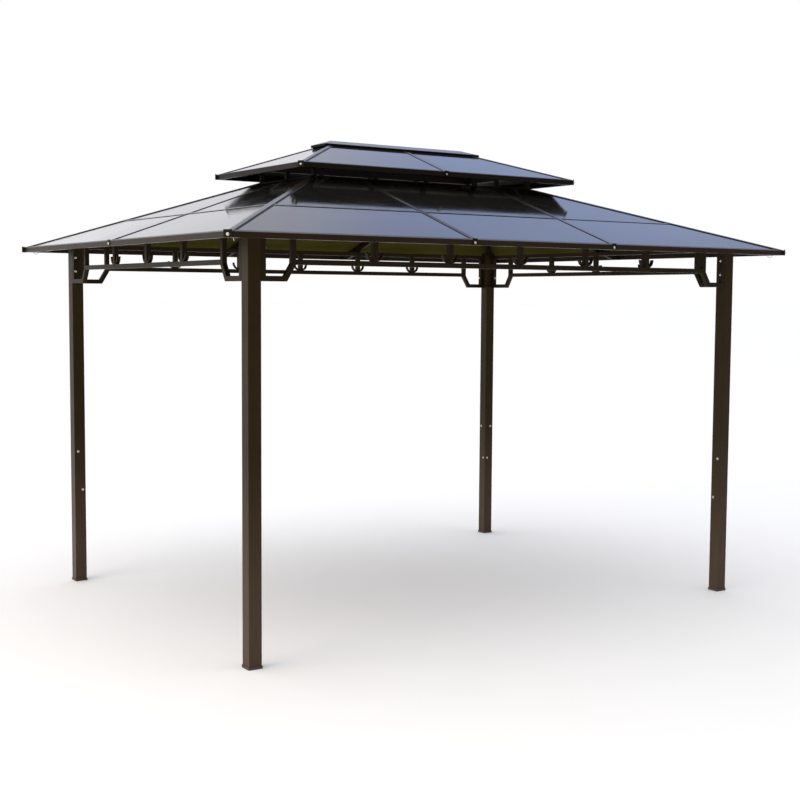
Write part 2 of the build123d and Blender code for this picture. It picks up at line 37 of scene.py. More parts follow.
# ------------------------------------------------------------------ dimensions
# Metres, in the frame of the part: X along the long side, Z up.
POST_X, POST_Y, POST = 1.720, 1.262, 0.075
EAVE_X, EAVE_Y, EAVE_BOTTOM, EAVE_PLANE = 1.980, 1.525, 2.2015, 2.228
RING_X, RING_Y, RING_PLANE = 0.830, 0.345, 2.637
UP_X, UP_Y, UP_BOTTOM, UP_PLANE = 1.032, 0.553, 2.665, 2.692
CAP_X, CAP_Y, CAP_EDGE = 0.598, 0.090, 2.856
RIB_X, SEAM, TUBE, BAY = 0.505, 0.4302, 0.028, 0.4975
RAIL_Z, BEAM_Z, BRACKET_Z = 2.082, 2.225, 1.996


# ------------------------------------------------------------------- materials
def new_material(name):
    mat = bpy.data.materials.new(name)
    mat.use_nodes = True
    nt = mat.node_tree
    for n in list(nt.nodes):
        nt.nodes.remove(n)
    return mat, nt


def node(nt, kind, **values):
    n = nt.nodes.new(kind)
    for key, value in values.items():
        if key in n.inputs:
            n.inputs[key].default_value = value
        else:
            setattr(n, key, value)
    return n


def ramp(nt, stops, interpolation="LINEAR"):
    n = nt.nodes.new("ShaderNodeValToRGB")
    n.color_ramp.interpolation = interpolation
    while len(n.color_ramp.elements) > 1:
        n.color_ramp.elements.remove(n.color_ramp.elements[-1])
    n.color_ramp.elements[0].position = stops[0][0]
    n.color_ramp.elements[0].color = (*stops[0][1], 1)
    for pos, col in stops[1:]:
        e = n.color_ramp.elements.new(pos)
        e.color = (*col, 1)
    return n


def powder_coat(name, base, rough=0.42, grain=1.0, dust=0.25, gloss=0.30, warm=(1.0, 0.80, 0.60), floor_bounce_paint=0.0):
    """Textured powder coat: orange peel, faint mottling, dust on what looks up."""
    mat, nt = new_material(name)
    link = nt.links.new
    out = node(nt, "ShaderNodeOutputMaterial")
    bsdf = node(nt, "ShaderNodeBsdfPrincipled")
    bsdf.inputs["IOR"].default_value = 1.5
    bsdf.inputs["Specular IOR Level"].default_value = gloss
    bsdf.inputs["Specular Tint"].default_value = (*warm, 1)
    link(bsdf.outputs[0], out.inputs[0])
    tc = node(nt, "ShaderNodeTexCoord")
    cloud = node(nt, "ShaderNodeTexNoise", Scale=3.1, Detail=5.0, Roughness=0.6)
    link(tc.outputs["Object"], cloud.inputs["Vector"])
    dark = tuple(c * 0.80 for c in base)
    lite = tuple(min(1, c * 1.22) for c in base)
    tone = ramp(nt, [(0.30, dark), (0.52, base), (0.72, lite)])
    link(cloud.outputs["Fac"], tone.inputs["Fac"])
    speck = node(nt, "ShaderNodeTexNoise", Scale=520.0, Detail=2.0, Roughness=0.7)
    link(tc.outputs["Object"], speck.inputs["Vector"])
    speck_r = ramp(nt, [(0.60, (0, 0, 0)), (0.74, (1, 1, 1))])
    link(speck.outputs["Fac"], speck_r.inputs["Fac"])
    mix1 = node(nt, "ShaderNodeMix", data_type="RGBA")
    mix1.inputs["B"].default_value = (*[min(1, c * 1.7 + 0.01) for c in base], 1)
    amount = node(nt, "ShaderNodeMath", operation="MULTIPLY")
    amount.inputs[1].default_value = 0.35
    link(speck_r.outputs["Color"], amount.inputs[0])
    link(amount.outputs[0], mix1.inputs["Factor"])
    link(tone.outputs["Color"], mix1.inputs["A"])
    # dust gathers on what looks up
    geo = node(nt, "ShaderNodeNewGeometry")
    sep = node(nt, "ShaderNodeSeparateXYZ")
    link(geo.outputs["Normal"], sep.inputs[0])
    up = node(nt, "ShaderNodeMapRange")
    up.inputs["From Min"].default_value = 0.55
    up.inputs["From Max"].default_value = 1.0
    up.inputs["To Max"].default_value = dust
    link(sep.outputs["Z"], up.inputs["Value"])
    patch = node(nt, "ShaderNodeTexNoise", Scale=14.0, Detail=6.0, Roughness=0.65)
    link(tc.outputs["Object"], patch.inputs["Vector"])
    patch_m = node(nt, "ShaderNodeMapRange")
    patch_m.inputs["From Min"].default_value = 0.35
    patch_m.inputs["From Max"].default_value = 0.75
    link(patch.outputs["Fac"], patch_m.inputs["Value"])
    dusty = node(nt, "ShaderNodeMath", operation="MULTIPLY")
    link(up.outputs[0], dusty.inputs[0])
    link(patch_m.outputs[0], dusty.inputs[1])
    mix2 = node(nt, "ShaderNodeMix", data_type="RGBA")
    mix2.inputs["B"].default_value = (0.30, 0.27, 0.23, 1)
    link(dusty.outputs[0], mix2.inputs["Factor"])
    link(mix1.outputs["Result"], mix2.inputs["A"])
    tint = mix2
    if floor_bounce_paint:
        # painted bounce light: the lower part is lighter and browner, with faint vertical streaks, fading out upwards
        # by 1.15 m, standing in for light thrown up from the floor
        place = node(nt, "ShaderNodeSeparateXYZ")
        link(tc.outputs["Object"], place.inputs[0])
        bounce_fade = node(nt, "ShaderNodeMapRange", interpolation_type="SMOOTHSTEP")
        bounce_fade.inputs["From Min"].default_value = 0.10
        bounce_fade.inputs["From Max"].default_value = 1.15
        bounce_fade.inputs["To Min"].default_value = floor_bounce_paint
        bounce_fade.inputs["To Max"].default_value = 0.0
        link(place.outputs["Z"], bounce_fade.inputs["Value"])
        bounce_stretch = node(nt, "ShaderNodeMapping")
        bounce_stretch.inputs["Scale"].default_value = (1.0, 1.0, 0.12)
        link(tc.outputs["Object"], bounce_stretch.inputs["Vector"])
        streak = node(nt, "ShaderNodeTexNoise", Scale=60.0, Detail=4.0, Roughness=0.6)
        link(bounce_stretch.outputs[0], streak.inputs["Vector"])
        streak_m = node(nt, "ShaderNodeMapRange")
        streak_m.inputs["From Min"].default_value = 0.30
        streak_m.inputs["From Max"].default_value = 0.70
        streak_m.inputs["To Min"].default_value = 0.75
        link(streak.outputs["Fac"], streak_m.inputs["Value"])
        bounce_amount = node(nt, "ShaderNodeMath", operation="MULTIPLY")
        link(bounce_fade.outputs[0], bounce_amount.inputs[0])
        link(streak_m.outputs[0], bounce_amount.inputs[1])
        tint = node(nt, "ShaderNodeMix", data_type="RGBA")
        # the lighter brown mixed in as painted bounce light
        tint.inputs["B"].default_value = (0.088, 0.060, 0.044, 1)
        link(bounce_amount.outputs[0], tint.inputs["Factor"])
        link(mix2.outputs["Result"], tint.inputs["A"])
    link(tint.outputs["Result"], bsdf.inputs["Base Color"])
    # roughness
    rr = node(nt, "ShaderNodeMapRange")
    rr.inputs["To Min"].default_value = rough - 0.07
    rr.inputs["To Max"].default_value = rough + 0.10
    link(patch.outputs["Fac"], rr.inputs["Value"])
    link(rr.outputs[0], bsdf.inputs["Roughness"])
    # orange peel
    peel = node(nt, "ShaderNodeTexNoise", Scale=240.0, Detail=2.5, Roughness=0.55)
    link(tc.outputs["Object"], peel.inputs["Vector"])
    bump = node(nt, "ShaderNodeBump")
    bump.inputs["Strength"].default_value = 0.22 * grain
    bump.inputs["Distance"].default_value = 0.0006
    link(peel.outputs["Fac"], bump.inputs["Height"])
    link(bump.outputs[0], bsdf.inputs["Normal"])
    return mat


def lit_and_shaded_coat(name, above, below):
    """Joins two coats: the bronze coat for what looks up, and a near-black, duller copy, which is painted shade, for
    the sides and what looks down.
    """
    mat, nt = new_material(name)
    link = nt.links.new
    out = node(nt, "ShaderNodeOutputMaterial")
    geo = node(nt, "ShaderNodeNewGeometry")
    sep = node(nt, "ShaderNodeSeparateXYZ")
    link(geo.outputs["True Normal"], sep.inputs[0])
    side = node(nt, "ShaderNodeMapRange")
    side.inputs["From Min"].default_value = 0.30
    side.inputs["From Max"].default_value = 0.55
    link(sep.outputs["Z"], side.inputs["Value"])
    mix = node(nt, "ShaderNodeMixShader")
    link(side.outputs[0], mix.inputs[0])
    tc = node(nt, "ShaderNodeTexCoord")
    cloud = node(nt, "ShaderNodeTexNoise", Scale=9.0, Detail=6.0, Roughness=0.6)
    link(tc.outputs["Object"], cloud.inputs["Vector"])
    peel = node(nt, "ShaderNodeTexNoise", Scale=240.0, Detail=2.5, Roughness=0.55)
    link(tc.outputs["Object"], peel.inputs["Vector"])
    bump = node(nt, "ShaderNodeBump")
    bump.inputs["Strength"].default_value = 0.16
    bump.inputs["Distance"].default_value = 0.0005
    link(peel.outputs["Fac"], bump.inputs["Height"])
    for slot, (base, rough, gloss, warm) in ((2, above), (1, below)):
        bsdf = node(nt, "ShaderNodeBsdfPrincipled")
        bsdf.inputs["IOR"].default_value = 1.5
        bsdf.inputs["Specular IOR Level"].default_value = gloss
        bsdf.inputs["Specular Tint"].default_value = (*warm, 1)
        tone = ramp(nt, [(0.30, tuple(c * 0.86 for c in base)), (0.70, tuple(min(1, c * 1.14) for c in base))])
        link(cloud.outputs["Fac"], tone.inputs["Fac"])
        link(tone.outputs["Color"], bsdf.inputs["Base Color"])
        rr = node(nt, "ShaderNodeMapRange")
        rr.inputs["To Min"].default_value = rough - 0.06
        rr.inputs["To Max"].default_value = rough + 0.09
        link(cloud.outputs["Fac"], rr.inputs["Value"])
        link(rr.outputs[0], bsdf.inputs["Roughness"])
        link(bump.outputs[0], bsdf.inputs["Normal"])
        link(bsdf.outputs[0], mix.inputs[slot])
    link(mix.outputs[0], out.inputs[0])
    return mat


def sheet_material(name, along, top_tint, under_tint_and_painted_light, under_gloss=0.0):
    """Bronze twin-wall sheet. Its flutes run up the slope, 'along' is across them."""
    mat, nt = new_material(name)
    link = nt.links.new
    out = node(nt, "ShaderNodeOutputMaterial")
    top = node(nt, "ShaderNodeBsdfPrincipled")
    under = node(nt, "ShaderNodeBsdfPrincipled")
    top.inputs["IOR"].default_value = 1.52
    under.inputs["IOR"].default_value = 1.5
    under.inputs["Specular IOR Level"].default_value = under_gloss
    tc = node(nt, "ShaderNodeTexCoord")
    geo = node(nt, "ShaderNodeNewGeometry")
    sep = node(nt, "ShaderNodeSeparateXYZ")
    link(tc.outputs["Object"], sep.inputs[0])
    # flutes 10 mm apart
    turn = node(nt, "ShaderNodeMath", operation="MULTIPLY")
    turn.inputs[1].default_value = 2 * math.pi / 0.010
    link(sep.outputs[along], turn.inputs[0])
    wave = node(nt, "ShaderNodeMath", operation="COSINE")
    link(turn.outputs[0], wave.inputs[0])
    line = node(nt, "ShaderNodeMapRange")
    line.inputs["From Min"].default_value = 0.72
    line.inputs["From Max"].default_value = 1.0
    link(wave.outputs[0], line.inputs["Value"])
    # tint with a soft cloud
    cloud = node(nt, "ShaderNodeTexNoise", Scale=2.3, Detail=4.0, Roughness=0.55)
    link(tc.outputs["Object"], cloud.inputs["Vector"])
    tone = ramp(nt, [(0.3, tuple(c * 0.85 for c in top_tint)), (0.7, tuple(c * 1.15 for c in top_tint))])
    link(cloud.outputs["Fac"], tone.inputs["Fac"])
    flute = node(nt, "ShaderNodeMix", data_type="RGBA")
    flute.inputs["B"].default_value = (*[c * 1.6 for c in top_tint], 1)
    few = node(nt, "ShaderNodeMath", operation="MULTIPLY")
    few.inputs[1].default_value = 0.55
    link(line.outputs[0], few.inputs[0])
    link(few.outputs[0], flute.inputs["Factor"])
    link(tone.outputs["Color"], flute.inputs["A"])
    link(flute.outputs["Result"], top.inputs["Base Color"])
    # the underside colour carries painted light: a painted reflection of grass on the main sheets, painted shade on the
    # vent sheets
    tone_u = ramp(nt, [(0.3, tuple(c * 0.8 for c in under_tint_and_painted_light)), (0.7, tuple(c * 1.2 for c in under_tint_and_painted_light))])
    link(cloud.outputs["Fac"], tone_u.inputs["Fac"])
    flute_u = node(nt, "ShaderNodeMix", data_type="RGBA")
    flute_u.inputs["B"].default_value = (*[c * 1.5 for c in under_tint_and_painted_light], 1)
    link(few.outputs[0], flute_u.inputs["Factor"])
    link(tone_u.outputs["Color"], flute_u.inputs["A"])
    link(flute_u.outputs["Result"], under.inputs["Base Color"])
    under.inputs["Roughness"].default_value = 0.35
    # smears and dust in the gloss
    smear = node(nt, "ShaderNodeTexNoise", Scale=5.5, Detail=7.0, Roughness=0.62)
    link(tc.outputs["Object"], smear.inputs["Vector"])
    rough = node(nt, "ShaderNodeMapRange")
    rough.inputs["From Min"].default_value = 0.30
    rough.inputs["From Max"].default_value = 0.75
    rough.inputs["To Min"].default_value = 0.045
    rough.inputs["To Max"].default_value = 0.12
    link(smear.outputs["Fac"], rough.inputs["Value"])
    link(rough.outputs[0], top.inputs["Roughness"])
    # the sheet isn't quite flat
    swell = node(nt, "ShaderNodeTexNoise", Scale=1.7, Detail=1.0, Roughness=0.4)
    link(tc.outputs["Object"], swell.inputs["Vector"])
    bump0 = node(nt, "ShaderNodeBump")
    bump0.inputs["Strength"].default_value = 0.25
    bump0.inputs["Distance"].default_value = 0.006
    link(swell.outputs["Fac"], bump0.inputs["Height"])
    bump1 = node(nt, "ShaderNodeBump")
    bump1.inputs["Strength"].default_value = 0.06
    bump1.inputs["Distance"].default_value = 0.0002
    link(line.outputs[0], bump1.inputs["Height"])
    link(bump0.outputs[0], bump1.inputs["Normal"])
    link(bump1.outputs[0], top.inputs["Normal"])
    link(bump1.outputs[0], under.inputs["Normal"])
    # top or underside
    nz = node(nt, "ShaderNodeSeparateXYZ")
    link(geo.outputs["True Normal"], nz.inputs[0])
    side = node(nt, "ShaderNodeMath", operation="GREATER_THAN")
    side.inputs[1].default_value = 0.0
    link(nz.outputs["Z"], side.inputs[0])
    mix = node(nt, "ShaderNodeMixShader")
    link(side.outputs[0], mix.inputs[0])
    link(under.outputs[0], mix.inputs[1])
    link(top.outputs[0], mix.inputs[2])
    link(mix.outputs[0], out.inputs[0])
    return mat


def plain_noise(name, base, rough, metallic=0.0, scale=60.0, vary=0.15, bump_amount=0.2, depth=0.0004):
    mat, nt = new_material(name)
    link = nt.links.new
    out = node(nt, "ShaderNodeOutputMaterial")
    bsdf = node(nt, "ShaderNodeBsdfPrincipled")
    bsdf.inputs["Metallic"].default_value = metallic
    link(bsdf.outputs[0], out.inputs[0])
    tc = node(nt, "ShaderNodeTexCoord")
    noise = node(nt, "ShaderNodeTexNoise", Scale=scale, Detail=5.0, Roughness=0.6)
    link(tc.outputs["Object"], noise.inputs["Vector"])
    tone = ramp(nt, [(0.3, tuple(c * (1 - vary) for c in base)), (0.7, tuple(min(1, c * (1 + vary)) for c in base))])
    link(noise.outputs["Fac"], tone.inputs["Fac"])
    link(tone.outputs["Color"], bsdf.inputs["Base Color"])
    rr = node(nt, "ShaderNodeMapRange")
    rr.inputs["To Min"].default_value = max(0.03, rough - 0.08)
    rr.inputs["To Max"].default_value = rough + 0.08
    link(noise.outputs["Fac"], rr.inputs["Value"])
    link(rr.outputs[0], bsdf.inputs["Roughness"])
    fine = node(nt, "ShaderNodeTexNoise", Scale=scale * 9, Detail=2.0)
    link(tc.outputs["Object"], fine.inputs["Vector"])
    bump = node(nt, "ShaderNodeBump")
    bump.inputs["Strength"].default_value = bump_amount
    bump.inputs["Distance"].default_value = depth
    link(fine.outputs["Fac"], bump.inputs["Height"])
    link(bump.outputs[0], bsdf.inputs["Normal"])
    return mat


# the posts carry painted bounce light, lighter and browner towards the bottom
M_POST = powder_coat("bronze_post", (0.0240, 0.0155, 0.0060), rough=0.36, dust=0.08, gloss=0.15, warm=(1.0, 0.70, 0.36), floor_bounce_paint=0.85)
M_FRAME = powder_coat("bronze_frame", (0.0160, 0.0108, 0.0052), rough=0.40, gloss=0.14, warm=(1.0, 0.74, 0.44))
M_TRIM = powder_coat("bronze_trim", (0.0190, 0.0112, 0.0070), rough=0.32, gloss=0.17, warm=(1.0, 0.76, 0.54))
# cover strips: their sides and undersides get the near-black copy as painted shade
M_STRIP = lit_and_shaded_coat("bronze_strip", ((0.026, 0.019, 0.014), 0.18, 0.60, (1.0, 0.95, 0.90)), ((0.0095, 0.0072, 0.0030), 0.45, 0.08, (1.0, 0.80, 0.55)))
M_VENT = powder_coat("bronze_vent", (0.0060, 0.0042, 0.0030), rough=0.40, gloss=0.16, warm=(1.0, 0.85, 0.75))
# ridge cap: its front lip and underside get the near-black copy as painted shade
M_CAP = lit_and_shaded_coat("bronze_cap", ((0.022, 0.017, 0.013), 0.24, 0.60, (1.0, 0.95, 0.90)), ((0.0030, 0.0026, 0.0028), 0.35, 0.06, (1.0, 0.95, 0.95)))
M_END = powder_coat("bronze_end_cap", (0.0060, 0.0048, 0.0040), rough=0.36, dust=0.10, gloss=0.16, warm=(1.0, 0.85, 0.72))
# main sheets: the olive underside is a painted reflection of grass over the sheet's bronze tint
M_SHEET_X = sheet_material("sheet_flutes_x", "X", (0.014, 0.0135, 0.0125), (0.046, 0.040, 0.0085))
M_SHEET_Y = sheet_material("sheet_flutes_y", "Y", (0.014, 0.0135, 0.0125), (0.046, 0.040, 0.0085))
# vent sheets: the near-black underside is painted shade on the underside of the upper tier
M_VENT_SHEET_X = sheet_material("vent_sheet_x", "X", (0.018, 0.018, 0.019), (0.0075, 0.0055, 0.0036), under_gloss=0.06)
M_VENT_SHEET_Y = sheet_material("vent_sheet_y", "Y", (0.018, 0.018, 0.019), (0.0075, 0.0055, 0.0036), under_gloss=0.06)
M_FOOT = plain_noise("foot_shoe", (0.050, 0.036, 0.027), 0.55, scale=80)
M_STEEL = plain_noise("bolt_zinc", (0.62, 0.60, 0.57), 0.34, metallic=1.0, scale=150, vary=0.10)
# black rubber for the seals, also used for the broad bars that stand in for shadow beside the strips
M_SEAL_AND_SHADOW = plain_noise("seal_rubber_and_shadow_bars", (0.008, 0.008, 0.008), 0.6, scale=120)


# -------------------------------------------------------- finish of CAD pieces
def soften(o, width, segments=2):
    """Rounds the edges of a piece for shading and outline; its mesh stays as it is."""
    w = o.modifiers.new("weld", "WELD")
    w.merge_threshold = 0.00002
    d = o.modifiers.new("flat", "DECIMATE")
    d.decimate_type = "DISSOLVE"
    d.angle_limit = math.radians(0.4)
    b = o.modifiers.new("round", "BEVEL")
    b.width = width
    b.segments = segments
    b.limit_method = "ANGLE"
    b.angle_limit = math.radians(25)
    b.harden_normals = True
    b.use_clamp_overlap = True
    b.miter_outer = "MITER_SHARP"


def dress(name, mat, width=None):
    o = nodes[name]
    o.data.materials.clear()
    o.data.materials.append(mat)
    if width:
        soften(o, width)


for n in nodes:
    if n == "post_feet":
        dress(n, M_FOOT, 0.0015)
    elif n.startswith("post_"):
        dress(n, M_POST, 0.003)
    elif n.startswith("vent_roof"):
        dress(n, M_VENT_SHEET_X if n.endswith("long") else M_VENT_SHEET_Y)
    elif "sheets" in n:
        dress(n, M_SHEET_X if n.endswith(("front", "back", "long")) else M_SHEET_Y)
    elif n in ("hip_rafters", "roof_ribs", "cross_seams"):
        dress(n, M_STRIP, 0.001)
    elif n == "eave_end_caps":
        dress(n, M_END, 0.0008)
    elif n.startswith("eave_"):
        dress(n, M_TRIM, 0.0012)
    elif n.startswith(("vent_fascia", "vent_ring", "vent_frame", "vent_struts")):
        dress(n, M_VENT, 0.001)
    elif n == "ridge_cap":
        dress(n, M_CAP, 0.001)
    elif n in ("vent_hips", "vent_ribs"):
        dress(n, M_STRIP, 0.001)
    else:
        dress(n, M_FRAME, 0.0018)

# ----------------------------------------------------- bolts, seals, shadow bars and hooks
def finish_piece(name, bm, mat, smooth=False):
    mesh = bpy.data.meshes.new(name)
    bmesh.ops.recalc_face_normals(bm, faces=bm.faces)
    bm.to_mesh(mesh)
    bm.free()
    mesh.materials.append(mat)
    for poly in mesh.polygons:
        poly.use_smooth = smooth
    o = bpy.data.objects.new(name, mesh)
    scene.collection.objects.link(o)
    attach(o, "root")
    return o


def axes_of(normal):
    n = Vector(normal).normalized()
    a = n.cross(Vector((0, 0, 1)))
    if a.length < 0.1:
        a = n.cross(Vector((0, 1, 0)))
    a.normalize()
    return n, a, n.cross(a)


def lathe(bm, place, normal, rings, sides, turn=0.0):
    """Closed turned form: rings of (radius, height) along the normal."""
    n, a, b = axes_of(normal)
    c = Vector(place)
    loops = []
    for r, h in rings:
        loop = []
        for i in range(sides):
            t = turn + 2 * math.pi * i / sides
            loop.append(bm.verts.new(c + n * h + (a * math.cos(t) + b * math.sin(t)) * r))
        loops.append(loop)
    for lo, hi in zip(loops, loops[1:]):
        for i in range(sides):
            j = (i + 1) % sides
            bm.faces.new((lo[i], lo[j], hi[j], hi[i]))
    bm.faces.new(loops[0][::-1])
    bm.faces.new(loops[-1])


def hex_bolt(bm, place, normal, r=0.0076, h=0.0052, washer=0.0095):
    """Hexagon head with a rounded top and a pressed collar on a washer."""
    lathe(bm, place, normal, [(washer, -0.0004), (washer, 0.0011), (washer - 0.0005, 0.0016)], 24)
    lathe(bm, place, normal, [(r * 1.12, 0.0012), (r * 1.12, 0.0020), (r * 1.02, 0.0026)], 24)
    turn = random.random()
    lathe(bm, place, normal, [(r, 0.0016), (r, h - 0.0009), (r * 0.86, h), (r * 0.55, h + 0.0003)], 6, turn)


def wedge_bar(bm, p, q, w, u, half, lo, hi):
    """A slim bar with a rounded back from p to q."""
    prof = [(-half, lo), (half, lo), (half, hi * 0.6 + lo * 0.4), (half * 0.5, hi), (-half * 0.5, hi), (-half, hi * 0.6 + lo * 0.4)]
    ends = []
    for c in (p, q):
        ends.append([bm.verts.new(Vector(c) + w * a + u * b) for a, b in prof])
    k = len(prof)
    for i in range(k):
        j = (i + 1) % k
        bm.faces.new((ends[0][i], ends[0][j], ends[1][j], ends[1][i]))
    bm.faces.new(ends[0][::-1])
    bm.faces.new(ends[1])


def slope_frame(side, eave, plane_z, top, top_z):
    run, rise = eave - top, top_z - plane_z
    length = math.hypot(run, rise)
    c, k = run / length, rise / length
    table = {
        "front": ((1, 0, 0), (0, c, k), (0, -eave, plane_z)),
        "right": ((0, 1, 0), (-c, 0, k), (eave, 0, plane_z)),
        "back": ((-1, 0, 0), (0, -c, k), (0, eave, plane_z)),
        "left": ((0, -1, 0), (c, 0, k), (-eave, 0, plane_z)),
    }
    S, T, O = (Vector(v) for v in table[side])
    return S, T, S.cross(T), O, length


UP_TAN = (CAP_EDGE - UP_PLANE) / (UP_Y - CAP_Y)
RIDGE_Z = UP_PLANE + UP_Y * UP_TAN
APEX_X = UP_X - UP_Y
SIGNS = [(-1, -1), (1, -1), (-1, 1), (1, 1)]

# Zinc-plated bolts with washers.
bm = bmesh.new()
dx, dy = EAVE_X - RING_X, EAVE_Y - RING_Y
n = math.hypot(dx, dy)
for sx, sy in SIGNS:
    nx, ny = sx * dx / n, sy * dy / n
    hex_bolt(bm, (sx * EAVE_X + nx * 0.0035, sy * EAVE_Y + ny * 0.0035, 2.2160), (nx, ny, 0), 0.0070, 0.0050, 0.0084)
    k = math.sqrt(0.5)
    hex_bolt(bm, (sx * UP_X + sx * k * 0.003, sy * UP_Y + sy * k * 0.003, 2.6800), (sx * k, sy * k, 0), 0.0055, 0.0040, 0.0068)
for sy in (-1, 1):
    for x in (-RIB_X, RIB_X):
        hex_bolt(bm, (x, sy * (EAVE_Y + 0.003), 2.2155), (0, sy, 0), 0.0062, 0.0045, 0.0076)
    hex_bolt(bm, (0.0, sy * (UP_Y + 0.003), 2.6790), (0, sy, 0), 0.0050, 0.0038, 0.0062)
for sx in (-1, 1):
    hex_bolt(bm, (sx * (EAVE_X + 0.003), 0.0, 2.2155), (sx, 0, 0), 0.0062, 0.0045, 0.0076)
finish_piece("eave_bolts", bm, M_STEEL)

bm = bmesh.new()
half = POST / 2
for sx, sy in SIGNS:
    for z in (2.165, 2.075):
        hex_bolt(bm, (sx * (POST_X - half - TUBE), sy * (POST_Y + half - TUBE / 2), z), (-sx, 0, 0), 0.0068, 0.0050, 0.0088)
        hex_bolt(bm, (sx * (POST_X + half - TUBE / 2), sy * (POST_Y - half - TUBE), z), (0, -sy, 0), 0.0068, 0.0050, 0.0088)
finish_piece("bracket_bolts", bm, M_STEEL)

bm = bmesh.new()
for sx, sy in SIGNS:
    for off, z in ((0.0130, 0.877), (-0.0165, 0.620)):
        hex_bolt(bm, (sx * (POST_X + off), sy * (POST_Y - half), z), (0, -sy, 0), 0.0068, 0.0046, 0.0086)
        hex_bolt(bm, (sx * (POST_X - half), sy * (POST_Y + off), z), (-sx, 0, 0), 0.0068, 0.0046, 0.0086)
finish_piece("post_bolts", bm, M_STEEL)

# Rubber seals beside the cover strips: on each strip the narrow bar (1.3 mm) on one side is the seal, and the broad
# black bar (4.2 to 4.4 mm) on the other side is a dark bar put where there is only shadow, standing in for the strip's
# shadow and its dark reflection in the sheet.
seal_and_shadow_bars = bmesh.new()
for side in ("front", "right", "back", "left"):
    out, top = (EAVE_Y, RING_Y) if side in ("front", "back") else (EAVE_X, RING_X)
    S, T, N, O, length = slope_frame(side, out, EAVE_PLANE, top, RING_PLANE)
    for s0 in ((-RIB_X, RIB_X) if side in ("front", "back") else (0.0,)):
        for k, wide in ((-1, 0.0013), (1, 0.0044)):
            off = s0 + k * (0.0110 + wide)
            wedge_bar(seal_and_shadow_bars, O + S * off + T * 0.034, O + S * off + T * (length - 0.004), S, N, wide, -0.0005, 0.0022)
for side in ("front", "back"):
    S, T, N, O, length = slope_frame(side, UP_Y, UP_PLANE, 0.0, RIDGE_Z)
    t_end = (UP_Y - CAP_Y - 0.004) / math.sqrt(1 + UP_TAN * UP_TAN) * (1 + UP_TAN * UP_TAN)
    for k, wide in ((-1, 0.0013), (1, 0.0044)):
        off = k * (0.0110 + wide)
        wedge_bar(seal_and_shadow_bars, O + S * off + T * 0.028, O + S * off + T * t_end, S, N, wide, -0.0005, 0.0020)
for tier, (ex, ey, ez, qx, qy, qz, width) in enumerate((
    (EAVE_X, EAVE_Y, EAVE_PLANE, RING_X, RING_Y, RING_PLANE, 0.037),
    (UP_X, UP_Y, UP_PLANE, APEX_X, 0.0, RIDGE_Z, 0.031),
)):
    for sx, sy in SIGNS:
        p, q = Vector((sx * ex, sy * ey, ez)), Vector((sx * qx, sy * qy, qz))
        d = (q - p).normalized()
        w = Vector((-d.y, d.x, 0)).normalized()
        u = d.cross(w)
        if u.z < 0:
            u = -u
        for k in (-1, 1):
            # the broad bar on this side stands in for shadow, the narrow one is the seal
            wide = 0.0042 if (w * k).cross(d).z > 0 else 0.0013
            # the sheet beside the hip falls away from it
            side = ("front" if sy < 0 else "back") if (w * k).y * sy > 0 else ("left" if sx < 0 else "right")
            out, top = ((ey, qy) if side in ("front", "back") else (ex, qx))
            S, T, N, O, length = slope_frame(side, out, ez, top, qz)
            foot, head = p + d * 0.050 + w * (k * (width / 2 + wide)), q - d * (0.006 if tier == 0 else 0.145) + w * (k * (width / 2 + wide))
            foot = foot - N * (foot - O).dot(N)
            head = head - N * (head - O).dot(N)
            across = (w - N * w.dot(N)).normalized()
            wedge_bar(seal_and_shadow_bars, foot, head, across, N, wide, -0.0005, 0.0024)
finish_piece("strip_seals_and_shadow_bars", seal_and_shadow_bars, M_SEAL_AND_SHADOW)


def wire(name, routes, radius, mat):
    """Bent wire: round tubes along smooth routes, joined as one mesh."""
    bm = bmesh.new()
    for pts in routes:
        curve = bpy.data.curves.new(name + "_route", "CURVE")
        curve.dimensions = "3D"
        sp = curve.splines.new("NURBS")
        sp.points.add(len(pts) - 1)
        for i, q in enumerate(pts):
            sp.points[i].co = (*q, 1)
        sp.order_u = 3
        sp.use_endpoint_u = True
        sp.resolution_u = 6
        curve.bevel_depth = radius
        curve.bevel_resolution = 3
        curve.use_fill_caps = True
        tmp = bpy.data.objects.new(name + "_route", curve)
        mesh = bpy.data.meshes.new_from_object(tmp)
        bm.from_mesh(mesh)
        bpy.data.objects.remove(tmp)
        bpy.data.curves.remove(curve)
        bpy.data.meshes.remove(mesh)
    return finish_piece(name, bm, mat, smooth=True)


# Wire hooks under the four corners, screwed into the hip bars.
routes = []
for sx, sy in SIGNS:
    nx, ny = sx * dx / n, sy * dy / n
    base = Vector((sx * EAVE_X, sy * EAVE_Y, EAVE_BOTTOM)) - Vector((nx, ny, 0)) * 0.105
    side = Vector((-ny, nx, 0))
    for k in (-1,):
        a = base + side * 0.004
        routes.append([
            a + Vector((0, 0, 0.016)), a + Vector((0, 0, 0.004)), a + Vector((0, 0, -0.004)),
            a + Vector((nx, ny, 0)) * 0.008 + Vector((0, 0, -0.013)), a + Vector((nx, ny, 0)) * 0.022 + Vector((0, 0, -0.014)),
            a + Vector((nx, ny, 0)) * 0.031 + Vector((0, 0, -0.006)), a + Vector((nx, ny, 0)) * 0.031 + Vector((0, 0, 0.001)),
        ])
wire("corner_hooks", routes, 0.0016, M_STEEL)

